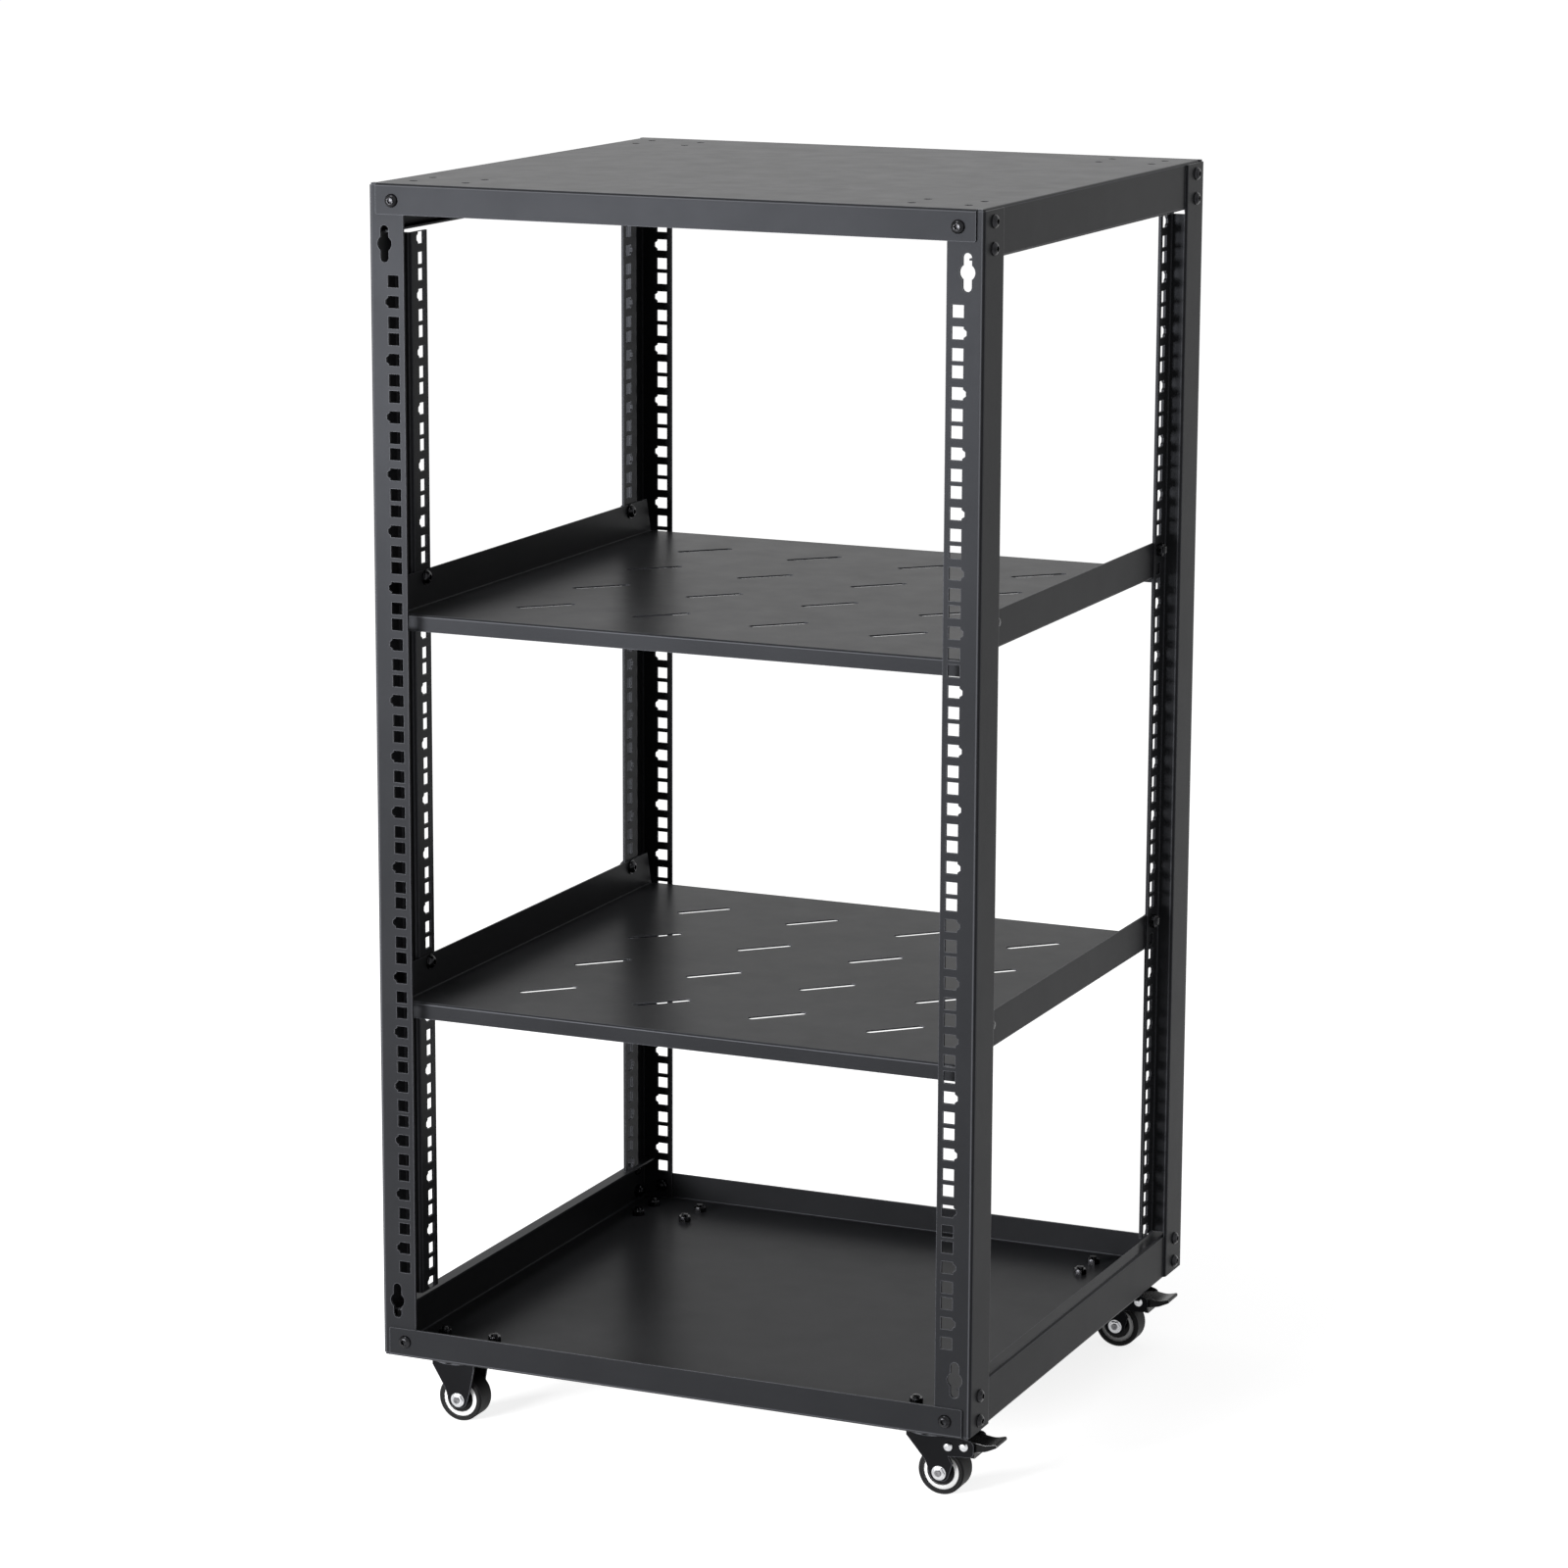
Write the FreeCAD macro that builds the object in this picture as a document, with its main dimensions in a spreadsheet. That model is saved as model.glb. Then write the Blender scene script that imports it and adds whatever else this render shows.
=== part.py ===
import FreeCAD, Part
import math
import os
import Sketcher

# Four post open frame rack for 19 inch equipment, on casters.
# Origin: centre of the footprint, on the floor.  +Z up, front towards -Y.
# Four bent sheet posts stand between two identical folded trays, and two
# slotted shelves are screwed between the post lips.  A swivel caster sits
# under each corner.  Those on the right carry a brake pedal.

# Driving sizes in millimetres, and the angle of the slots in degrees
SIZES = {
    # Overall frame
    "frame_width": 506,
    "frame_depth": 490,
    "rack_units": 18,
    "end_height": 68.45,
    "caster_height": 60.5,
    # Posts: flange along X, web along Y, inner wall along X, lip along Y
    "post_sheet": 2,
    "post_bend": 1,
    "flange_width": 29.5,
    "web_depth": 41,
    "inner_wall_width": 15,
    "lip_width": 25.5,
    "lip_end_gap": 3,
    # Rack hole pattern
    "unit_pitch": 44.45,
    "hole_pitch": 15.875,
    "square_hole": 9.5,
    "hole_column": 20.45,
    "lip_hole_offset": 15.5,
    "notch_height": 6.6,
    "notch_crest": 3.2,
    "notch_reach": 2.3,
    "keyhole_diameter": 12.4,
    "keyhole_slot": 7.1,
    "keyhole_length": 28.5,
    "keyhole_column": 13.3,
    # Top panel and bottom tray
    "tray_sheet": 1.5,
    "tray_bend": 1,
    "tray_lip_height": 23.7,
    "tray_lip_inset": 6.5,
    "tray_lip_corner": 1.5,
    "tray_wall_height": 38,
    "tray_wall_inset": 7,
    "tray_flange": 12,
    "corner_relief": 2,
    "screw_hole": 6.4,
    "tray_screw_column": 20.4,
    "tray_screw_drop": 13,
    "web_screw_depth": 20.5,
    "web_screw_drop": 10,
    "web_screw_pitch": 20,
    # Mounting groups in the trays, one over each caster
    "caster_inset_x": 46.5,
    "caster_inset_y": 46,
    "group_pitch_x": 45,
    "group_pitch_y": 32,
    "group_hole": 6.5,
    # Shelves
    "shelf_sheet": 1.2,
    "shelf_bend": 0.8,
    "shelf_side_gap": 0,
    "shelf_inset": 15,
    "shelf_wall_height": 28.5,
    "shelf_wall_slant": 8,
    "shelf_lip_height": 13,
    "shelf_lip_inset": 3,
    "shelf_wall_inset": 2.5,
    "shelf_screw_height": 22.3,
    "upper_shelf_unit": 13,
    "lower_shelf_unit": 6,
    "slot_length": 49,
    "slot_width": 7,
    "slot_pitch": 100,
    "slot_angle": 45,
    # Caster plates and swivels
    "plate_margin_x": 7.5,
    "plate_margin_y": 8,
    "plate_sheet": 2.5,
    "plate_corner": 5,
    "raceway_radius": 17,
    "raceway_height": 5.2,
    "raceway_edge": 1.5,
    "swivel_gap": 0.3,
    "kingpin_radius": 4,
    "running_fit": 0.05,
    # Forks
    "fork_sheet": 2,
    "crown_radius": 21.5,
    "cheek_back": 18.5,
    "cheek_shoulder": 6,
    "cheek_waist": 11,
    "waist_rise": 8.5,
    "nose_margin": 1,
    "ear_radius": 8,
    "plain_trail": 4,
    "brake_trail": 9,
    # Wheels
    "wheel_radius": 19,
    "wheel_width": 20,
    "wheel_side_gap": 2,
    "tyre_shoulder": 1.5,
    "rim_radius": 15,
    "rim_opening": 11.5,
    "rim_set_back": 0.5,
    "rim_slope": 1.2,
    "rim_recess": 1.5,
    "axle_radius": 3,
    "axle_head_radius": 5.5,
    "axle_head": 2.5,
    # Brake pedals
    "pedal_pivot_x": 29.5,
    "pedal_pivot_drop": 17.5,
    "pedal_pin_radius": 2.5,
    "pin_head_margin": 1.5,
    "pedal_side_gap": 1,
    "pedal_boss_radius": 4.5,
    "pedal_reach": 26,
    "pedal_tip_height": 4.5,
    "pedal_tip_thickness": 3,
    "pedal_dish_reach": 17,
    "pedal_dish_height": 2.2,
    "pedal_thickness": 5,
    "pedal_dish_radius": 18,
    "pedal_tip_bend": 1.2,
    "shoe_reach": 8,
    "shoe_drop": 9.5,
    "shoe_thickness": 3,
    "brace_x": 16.5,
    "brace_drop": 19,
}

doc = FreeCAD.newDocument("open_frame_rack")
dims = doc.addObject("Spreadsheet::Sheet", "dims")
for row, (name, number) in enumerate(SIZES.items(), 1):
    dims.set("A%d" % row, name)
    dims.set("B%d" % row, str(number))
    dims.setAlias("B%d" % row, name)
doc.recompute()


def value(expression):
    """Number that an expression of the sheet's sizes gives."""
    return float(dims.evalExpression(str(expression)))


def new_body(label, x="0", y="0", z="0", axis=(0, 0, 1), turn=0):
    """Body of one sub-part, placed by expressions."""
    body = doc.addObject("PartDesign::Body", label)
    body.Label = label
    rotation = FreeCAD.Rotation(FreeCAD.Vector(*axis), turn)
    body.Placement = FreeCAD.Placement(FreeCAD.Vector(value(x), value(y), value(z)), rotation)
    body.setExpression("Placement.Base.x", x)
    body.setExpression("Placement.Base.y", y)
    body.setExpression("Placement.Base.z", z)
    return body


def origin_feature(body, role):
    """Origin plane or axis of a body."""
    for feature in body.Origin.OriginFeatures:
        if feature.Role == role:
            return feature
    raise ValueError(role)


def new_sketch(body, name, plane, offset="0"):
    """Sketch on an origin plane of its own body, moved along the plane's normal."""
    sketch = body.newObject("Sketcher::SketchObject", name)
    sketch.AttachmentSupport = [(origin_feature(body, plane), "")]
    sketch.MapMode = "FlatFace"
    sketch.AttachmentOffset = FreeCAD.Placement(FreeCAD.Vector(0, 0, value(offset)), FreeCAD.Rotation())
    sketch.setExpression("AttachmentOffset.Base.z", offset)
    return sketch


def bound_constraint(sketch, kind, references, expression):
    """Dimension of a sketch that follows an expression."""
    index = sketch.addConstraint(Sketcher.Constraint(kind, *references, value(expression)))
    sketch.setExpression("Constraints[%d]" % index, str(expression))


def locate(sketch, geometry, point, x, y):
    """Hold a point of a sketch at bound coordinates."""
    bound_constraint(sketch, "DistanceX", (-1, 1, geometry, point), x)
    bound_constraint(sketch, "DistanceY", (-1, 1, geometry, point), y)


def add_polygon(sketch, corners):
    """Closed outline through corners given as pairs of expressions."""
    points = [FreeCAD.Vector(value(x), value(y), 0) for x, y in corners]
    first = sketch.GeometryCount
    count = len(points)
    for index in range(count):
        line = Part.LineSegment(points[index], points[(index + 1) % count])
        sketch.addGeometry(line, False)
    for index in range(count):
        following = first + (index + 1) % count
        sketch.addConstraint(Sketcher.Constraint("Coincident", first + index, 2, following, 1))
    for index, (x, y) in enumerate(corners):
        locate(sketch, first + index, 1, x, y)


def add_rectangle(sketch, x, y, width, height):
    """Rectangle about a centre."""
    left = "%s - (%s) / 2" % (x, width)
    right = "%s + (%s) / 2" % (x, width)
    low = "%s - (%s) / 2" % (y, height)
    high = "%s + (%s) / 2" % (y, height)
    add_polygon(sketch, [(left, low), (right, low), (right, high), (left, high)])


def add_circle(sketch, x, y, radius):
    """Circle about a centre."""
    centre = FreeCAD.Vector(value(x), value(y), 0)
    index = sketch.addGeometry(Part.Circle(centre, FreeCAD.Vector(0, 0, 1), value(radius)), False)
    locate(sketch, index, 3, x, y)
    bound_constraint(sketch, "Radius", (index,), radius)


def add_slot(sketch, start, end, radius):
    """Round-ended slot between two centres."""
    first = FreeCAD.Vector(value(start[0]), value(start[1]), 0)
    last = FreeCAD.Vector(value(end[0]), value(end[1]), 0)
    heading = math.atan2(last.y - first.y, last.x - first.x)
    reach = value(radius)
    side = FreeCAD.Vector(-math.sin(heading), math.cos(heading), 0) * reach
    normal = FreeCAD.Vector(0, 0, 1)
    quarter = math.pi / 2
    near = sketch.addGeometry(
        Part.ArcOfCircle(Part.Circle(first, normal, reach), heading + quarter, heading + 3 * quarter), False)
    far = sketch.addGeometry(
        Part.ArcOfCircle(Part.Circle(last, normal, reach), heading - quarter, heading + quarter), False)
    lower = sketch.addGeometry(Part.LineSegment(first - side, last - side), False)
    upper = sketch.addGeometry(Part.LineSegment(last + side, first + side), False)
    sketch.addConstraint(Sketcher.Constraint("Tangent", near, 2, lower, 1))
    sketch.addConstraint(Sketcher.Constraint("Tangent", lower, 2, far, 1))
    sketch.addConstraint(Sketcher.Constraint("Tangent", far, 2, upper, 1))
    sketch.addConstraint(Sketcher.Constraint("Tangent", upper, 2, near, 1))
    locate(sketch, near, 3, *start)
    locate(sketch, far, 3, *end)
    bound_constraint(sketch, "Radius", (near,), radius)


def pad(body, sketch, name, length, symmetric=False, backwards=False):
    """Extrude a sketch."""
    feature = body.newObject("PartDesign::Pad", name)
    feature.Profile = sketch
    feature.Length = value(length)
    feature.setExpression("Length", length)
    if symmetric:
        feature.SideType = "Symmetric"
    feature.Reversed = backwards
    doc.recompute()
    return feature


def pocket(body, sketch, name, length=None, backwards=False):
    """Cut a sketch through everything both ways, or to a depth one way."""
    before = body.Shape.Volume
    feature = body.newObject("PartDesign::Pocket", name)
    feature.Profile = sketch
    if length is None:
        feature.Type = "ThroughAll"
        feature.SideType = "Symmetric"
    else:
        feature.Type = "Length"
        feature.Length = value(length)
        feature.setExpression("Length", length)
        feature.Reversed = backwards
    doc.recompute()
    if not body.Shape.Volume < before - 1e-6:
        raise RuntimeError("%s: %s cuts nothing" % (body.Label, name))
    return feature


def row_of(body, features, name, axis, count, pitch):
    """Repeat features along an origin axis of the body."""
    pattern = body.newObject("PartDesign::LinearPattern", name)
    pattern.Originals = features
    pattern.Direction = (origin_feature(body, axis), [""])
    pattern.Mode = "Spacing"
    pattern.Offset = value(pitch)
    pattern.setExpression("Offset", pitch)
    pattern.Occurrences = int(value(count))
    pattern.setExpression("Occurrences", count)
    body.Tip = pattern
    doc.recompute()
    return pattern


def straight_edges(shape, direction, places):
    """Names of the edges along one axis that pass through the given places."""
    along = "xyz".index(direction)
    across = [axis for axis in range(3) if axis != along]
    names = []
    for number, edge in enumerate(shape.Edges, 1):
        if edge.Curve.TypeId != "Part::GeomLine":
            continue
        start, end = edge.Vertexes[0].Point, edge.Vertexes[-1].Point
        if any(abs(start[axis] - end[axis]) > 1e-4 for axis in across):
            continue
        for place in places:
            if all(abs(start[axis] - value(place[i])) < 1e-3 for i, axis in enumerate(across)):
                names.append("Edge%d" % number)
    return names


def fillet(body, name, direction, places, radius):
    """Round the straight edges that pass through the given places."""
    base = body.Tip
    feature = body.newObject("PartDesign::Fillet", name)
    feature.Base = (base, straight_edges(base.Shape, direction, places))
    feature.Radius = value(radius)
    feature.setExpression("Radius", radius)
    doc.recompute()
    return feature


def signed(expression, sign):
    """Expression on the side of the axis that the sign gives."""
    if sign > 0:
        return expression
    return "-(%s)" % expression


# ---------------------------------------------------------------- posts

FRAME_HEIGHT = "(dims.rack_units * dims.unit_pitch + 2 * dims.end_height)"
POST_LENGTH = "(%s - 2 * dims.tray_sheet)" % FRAME_HEIGHT
POST_OUTER_BEND = "dims.post_bend + dims.post_sheet"
PATTERN_HEIGHT = "(dims.rack_units * dims.unit_pitch - (dims.unit_pitch - 2 * dims.hole_pitch))"
FIRST_HOLE = "((%s - %s) / 2)" % (POST_LENGTH, PATTERN_HEIGHT)
KEYHOLE_BELOW = "(dims.unit_pitch - dims.hole_pitch)"
LIP_FACE = "(dims.inner_wall_width - dims.post_sheet)"
LIP_HOLE_DEPTH = "(dims.tray_sheet + dims.web_depth + dims.lip_hole_offset)"
LIP_END_CUT = "(dims.tray_wall_height - dims.tray_sheet + dims.lip_end_gap)"


def rack_holes(body, name, plane, column, notch_side, first, depth):
    """Rack holes of one unit in a flange or lip: three squares, the middle one with a notch on one side."""
    half = "dims.square_hole / 2"
    holes = new_sketch(body, name + "_holes", plane)
    for step in (0, 2):
        add_rectangle(holes, column, "%s + %d * dims.hole_pitch" % (first, step),
                      "dims.square_hole", "dims.square_hole")
    middle = "%s + dims.hole_pitch" % first
    plain_side = "%s + %s" % (column, signed("(%s)" % half, -notch_side))
    notched_side = "%s + %s" % (column, signed("(%s)" % half, notch_side))
    crest = "%s + %s" % (column, signed("(%s + dims.notch_reach)" % half, notch_side))
    add_polygon(holes, [
        (plain_side, "%s - %s" % (middle, half)),
        (notched_side, "%s - %s" % (middle, half)),
        (notched_side, "%s - dims.notch_height / 2" % middle),
        (crest, "%s - dims.notch_crest / 2" % middle),
        (crest, "%s + dims.notch_crest / 2" % middle),
        (notched_side, "%s + dims.notch_height / 2" % middle),
        (notched_side, "%s + %s" % (middle, half)),
        (plain_side, "%s + %s" % (middle, half)),
    ])
    return [pocket(body, holes, name + "_cut", *depth)]


def make_post(label, hand, front):
    """Bent post. Its outer corner is the body's origin and its flange faces local -Y."""
    facing = 1 if front else -1
    corner_x = signed("dims.frame_width / 2", -hand * facing)
    corner_y = signed("(dims.frame_depth / 2 - dims.tray_sheet)", -facing)
    body = new_body(label, corner_x, corner_y, "dims.caster_height + dims.tray_sheet",
                    turn=0 if front else 180)

    def across(expression):
        return signed(expression, hand)

    sheet = "dims.post_sheet"
    wall = "dims.inner_wall_width"
    web = "dims.web_depth"
    web_inner = "dims.web_depth - dims.post_sheet"
    lip_end = "dims.web_depth + dims.lip_width"
    outline = [
        ("0", "0"),
        (across("dims.flange_width"), "0"),
        (across("dims.flange_width"), sheet),
        (across(sheet), sheet),
        (across(sheet), web_inner),
        (across(wall), web_inner),
        (across(wall), lip_end),
        (across(LIP_FACE), lip_end),
        (across(LIP_FACE), web),
        ("0", web),
    ]
    profile = new_sketch(body, label + "_profile", "XY_Plane")
    add_polygon(profile, outline)
    pad(body, profile, label + "_pad", POST_LENGTH)
    fillet(body, label + "_outer_bends", "z",
           [("0", "0"), ("0", web), (across(wall), web_inner)], POST_OUTER_BEND)
    fillet(body, label + "_inner_bends", "z",
           [(across(sheet), sheet), (across(sheet), web_inner), (across(LIP_FACE), web)], "dims.post_bend")

    # The inner wall and lip stop short at both ends, to clear the tray walls.
    near = across("dims.post_sheet")
    far = across("2 * dims.inner_wall_width")
    bend_start = "(dims.web_depth - dims.post_sheet - dims.post_bend)"
    ends = new_sketch(body, label + "_end_cuts", "XZ_Plane", "-" + bend_start)
    for low, high in (("0", LIP_END_CUT), ("%s - %s" % (POST_LENGTH, LIP_END_CUT), POST_LENGTH)):
        add_polygon(ends, [(near, low), (far, low), (far, high), (near, high)])
    pocket(body, ends, label + "_end_cut", "dims.web_depth + dims.lip_width")

    # Screws through the flange hold the tray lips, and pairs through the web hold the tray walls.
    screws = new_sketch(body, label + "_flange_screws", "XZ_Plane")
    screw_drop = "(dims.tray_screw_drop - dims.tray_sheet)"
    for height in (screw_drop, "%s - %s" % (POST_LENGTH, screw_drop)):
        add_circle(screws, across("dims.tray_screw_column"), height, "dims.screw_hole / 2")
    pocket(body, screws, label + "_flange_screw_cut", "2 * dims.post_sheet")
    pairs = new_sketch(body, label + "_web_screws", "YZ_Plane")
    low_screw = "(dims.web_screw_drop - dims.tray_sheet)"
    high_screw = "(dims.web_screw_drop + dims.web_screw_pitch - dims.tray_sheet)"
    depth = "dims.web_screw_depth - dims.tray_sheet"
    for drop in (low_screw, high_screw):
        for height in (drop, "%s - %s" % (POST_LENGTH, drop)):
            add_circle(pairs, depth, height, "dims.screw_hole / 2")
    pocket(body, pairs, label + "_web_screw_cut")

    flange_depth = ("2 * dims.post_sheet",)
    if front:
        column = across("dims.keyhole_column")
        low = "(%s - %s)" % (FIRST_HOLE, KEYHOLE_BELOW)
        slots = new_sketch(body, label + "_keyhole_slots", "XZ_Plane")
        half = "(dims.keyhole_length - dims.keyhole_slot) / 2"
        add_slot(slots, (column, "%s - %s" % (low, half)), (column, "%s + %s" % (low, half)),
                 "dims.keyhole_slot / 2")
        slot_cut = pocket(body, slots, label + "_keyhole_slot_cut", *flange_depth)
        rounds = new_sketch(body, label + "_keyhole_rounds", "XZ_Plane")
        add_circle(rounds, column, low, "dims.keyhole_diameter / 2")
        round_cut = pocket(body, rounds, label + "_keyhole_round_cut", *flange_depth)
        row_of(body, [slot_cut, round_cut], label + "_keyholes", "Z_Axis", "2",
               "%s - 2 * %s" % (POST_LENGTH, low))

    # Front flanges carry the rack units alone. Rear flanges and all the lips carry one more at each end.
    full_first = "(%s - dims.unit_pitch)" % FIRST_HOLE
    full_units = "dims.rack_units + 2"
    flange_first, flange_units = (FIRST_HOLE, "dims.rack_units") if front else (full_first, full_units)
    flange = rack_holes(body, label + "_flange", "XZ_Plane", across("dims.hole_column"), -hand,
                        flange_first, flange_depth)
    lip = rack_holes(body, label + "_lip", "YZ_Plane", LIP_HOLE_DEPTH + " - dims.tray_sheet", -1,
                     full_first, ())
    row_of(body, flange, label + "_flange_pattern", "Z_Axis", flange_units, "dims.unit_pitch")
    row_of(body, lip, label + "_lip_pattern", "Z_Axis", full_units, "dims.unit_pitch")
    return body


# ---------------------------------------------------------------- trays

CASTER_X = "(dims.frame_width / 2 - dims.caster_inset_x)"
CASTER_Y = "(dims.frame_depth / 2 - dims.caster_inset_y)"


def make_tray(label, top):
    """Folded panel, with its plate at local z = 0 and its walls standing towards local +Z."""
    if top:
        body = new_body(label, z="dims.caster_height + " + FRAME_HEIGHT, axis=(1, 0, 0), turn=180)
    else:
        body = new_body(label, z="dims.caster_height")
    sheet = "dims.tray_sheet"
    half_width = "(dims.frame_width / 2 - dims.post_sheet)"
    half_depth = "dims.frame_depth / 2"
    lip_half = "(dims.frame_width / 2 - dims.tray_lip_inset)"
    wall_half = "(dims.frame_depth / 2 - dims.tray_wall_inset)"
    outer_bend = "dims.tray_bend + dims.tray_sheet"

    def tray_lips():
        inner = "(%s - %s)" % (half_depth, sheet)
        tall = "dims.tray_lip_height"
        outline = [
            ("-" + half_depth, "0"), (half_depth, "0"), (half_depth, tall), (inner, tall),
            (inner, sheet), ("-" + inner, sheet), ("-" + inner, tall), ("-" + half_depth, tall),
        ]
        section = new_sketch(body, label + "_lip_section", "YZ_Plane")
        add_polygon(section, outline)
        pad(body, section, label + "_lips", "2 * " + lip_half, symmetric=True)
        fillet(body, label + "_lip_outer_bends", "x", [("-" + half_depth, "0"), (half_depth, "0")], outer_bend)
        fillet(body, label + "_lip_inner_bends", "x", [("-" + inner, sheet), (inner, sheet)], "dims.tray_bend")
        fillet(body, label + "_lip_corners", "y", [("-" + lip_half, tall), (lip_half, tall)],
               "dims.tray_lip_corner")

    def tray_walls():
        inner = "(%s - %s)" % (half_width, sheet)
        flange_end = "(%s - dims.tray_flange)" % half_width
        tall = "dims.tray_wall_height"
        under = "(dims.tray_wall_height - dims.tray_sheet)"
        right = [
            (half_width, "0"), (half_width, tall), (flange_end, tall), (flange_end, under),
            (inner, under), (inner, sheet),
        ]
        left = [("-" + x, z) for x, z in reversed(right)]
        section = new_sketch(body, label + "_wall_section", "XZ_Plane")
        add_polygon(section, right + left)
        pad(body, section, label + "_walls", "2 * " + wall_half, symmetric=True)
        outer = [("-" + half_width, "0"), (half_width, "0"), ("-" + half_width, tall), (half_width, tall)]
        fold = [("-" + inner, sheet), (inner, sheet), ("-" + inner, under), (inner, under)]
        fillet(body, label + "_wall_outer_bends", "y", outer, outer_bend)
        fillet(body, label + "_wall_inner_bends", "y", fold, "dims.tray_bend")

    tray_lips()
    tray_walls()

    # Flat strips between the wall ends and the lips, short of the edge by the corner relief.
    strips = new_sketch(body, label + "_strips", "XY_Plane")
    strip_depth = "(dims.tray_wall_inset - dims.corner_relief)"
    for sign in (1, -1):
        middle = signed("(%s + %s / 2)" % (wall_half, strip_depth), sign)
        add_rectangle(strips, "0", middle, "2 * " + half_width, strip_depth)
    pad(body, strips, label + "_strip_pad", sheet)

    lip_screws = new_sketch(body, label + "_lip_screws", "XZ_Plane")
    for sign in (1, -1):
        column = signed("(dims.frame_width / 2 - dims.tray_screw_column)", sign)
        add_circle(lip_screws, column, "dims.tray_screw_drop", "dims.screw_hole / 2")
    pocket(body, lip_screws, label + "_lip_screw_cut")

    wall_screws = new_sketch(body, label + "_wall_screws", "YZ_Plane")
    for sign in (1, -1):
        depth = signed("(dims.frame_depth / 2 - dims.web_screw_depth)", sign)
        add_circle(wall_screws, depth, "dims.web_screw_drop", "dims.screw_hole / 2")
        add_circle(wall_screws, depth, "dims.web_screw_drop + dims.web_screw_pitch", "dims.screw_hole / 2")
    pocket(body, wall_screws, label + "_wall_screw_cut")

    groups = new_sketch(body, label + "_group_holes", "XY_Plane")
    for x_sign in (1, -1):
        for y_sign in (1, -1):
            for x_step in (1, -1):
                for y_step in (1, -1):
                    x = "%s + %s" % (signed(CASTER_X, x_sign), signed("dims.group_pitch_x / 2", x_step))
                    y = "%s + %s" % (signed(CASTER_Y, y_sign), signed("dims.group_pitch_y / 2", y_step))
                    add_circle(groups, x, y, "dims.group_hole / 2")
    pocket(body, groups, label + "_group_cut")
    return body


# ---------------------------------------------------------------- shelves

SHELF_HALF_WIDTH = "(dims.frame_width / 2 - dims.inner_wall_width - dims.shelf_side_gap)"
SHELF_HALF_DEPTH = "(dims.frame_depth / 2 - dims.shelf_inset)"


def shelf_floor(unit):
    """Height of a shelf's floor, whose screws sit in the notched holes of a rack unit from below."""
    hole = "(%s + (%s - 1) * dims.unit_pitch + dims.hole_pitch)" % (FIRST_HOLE, unit)
    return "dims.caster_height + dims.tray_sheet + %s - dims.shelf_screw_height" % hole


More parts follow.
